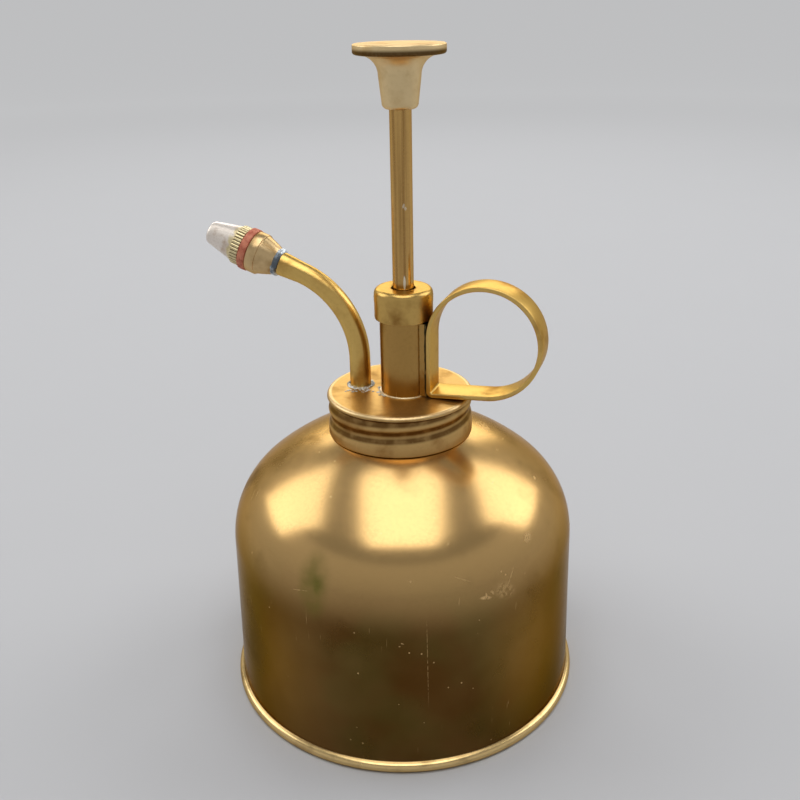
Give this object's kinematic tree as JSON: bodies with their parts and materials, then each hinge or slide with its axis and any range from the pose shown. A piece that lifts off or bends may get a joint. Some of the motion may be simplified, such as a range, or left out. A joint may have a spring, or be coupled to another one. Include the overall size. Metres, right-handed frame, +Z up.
{
  "type": "brass plant mister",
  "caption": "Aged brass plant mister: rounded bottle, screw cap with hand pump, thumb knob and finger ring, bent spout with a screw-on spray nozzle",
  "frame": {"origin": "centre of the flat annulus under the rolled foot rim, on the bottle's axis, where the bottle stands", "axes": "+Z up along the bottle's axis, +X towards the finger ring, -X towards the spout and nozzle"},
  "size_m": [0.094, 0.09, 0.1576],
  "materials": {
    "body_brass": "satin lacquer, worn and tarnished",
    "cap_brass": "satin, browned in its grooves",
    "pump_brass": "satin, tarnished",
    "trim_brass": "satin with brown streaks",
    "rod_brass": "polished by use, brown streak",
    "knob_brass": "satin",
    "nickel": "dull worn nickel plating",
    "steel": "bright",
    "red_fibre": "matt vulcanised fibre",
    "seal_rubber": "matt",
    "leather": "greased"
  },
  "bodies": {
    "bottle": {"bottle_shell": "body_brass", "base_disc": "body_brass"},
    "seal": {"cap_seal": "seal_rubber"},
    "head": {"screw_cap": "cap_brass", "pump_barrel": "pump_brass", "gland_cap": "pump_brass", "rod_guide": "leather", "finger_ring": "trim_brass", "spout_tube": "trim_brass", "nozzle_body": "pump_brass", "swirl_core": "steel", "valve_body": "pump_brass", "spring_disc": "pump_brass", "dip_tube": "trim_brass", "strainer": "trim_brass", "return_spring": "steel"},
    "plunger": {"plunger_rod": "rod_brass", "thumb_knob": "knob_brass", "piston_plate": "pump_brass", "piston_cup": "leather", "clamp_washer": "steel", "piston_nut": "steel"},
    "fibre_washer": {"nozzle_washer": "red_fibre"},
    "nozzle": {"nozzle_cap": "nickel"},
    "inlet_valve": {"inlet_ball": "steel"},
    "outlet_valve": {"outlet_ball": "steel"}
  },
  "joints": [
    {"name": "head_lift", "type": "slide", "parent": "bottle", "child": "seal", "axis": [0, 0, 1], "range_m": [0, 0.08]},
    {"name": "cap_turn", "type": "hinge", "parent": "seal", "child": "head", "pos_m": [0, 0, 0.07772], "axis": [0, 0, 1], "range_deg": [0, 720]},
    {"name": "plunger_stroke", "type": "slide", "parent": "head", "child": "plunger", "axis": [0, 0, -1], "range_m": [0, 0.0393], "stiffness_N_per_m": 230, "springref_m": -0.013, "deforming": ["return_spring"]},
    {"name": "nozzle_rise", "type": "slide", "parent": "head", "child": "fibre_washer", "axis": [-0.9415, 0, 0.3371], "range_m": [0, 0.0015]},
    {"name": "nozzle_turn", "type": "hinge", "parent": "fibre_washer", "child": "nozzle", "pos_m": [-0.03067, 0, 0.10819], "axis": [-0.9415, 0, 0.3371], "range_deg": [0, 720]},
    {"name": "inlet_lift", "type": "slide", "parent": "head", "child": "inlet_valve", "axis": [0, 0, 1], "range_m": [0, 0.0012]},
    {"name": "outlet_lift", "type": "slide", "parent": "head", "child": "outlet_valve", "axis": [0, 0, 1], "range_m": [0, 0.0012]}
  ],
  "couplings": [
    {"joint": "nozzle_turn", "follows": "nozzle_rise", "rad_per_m": 8377.6}
  ]
}
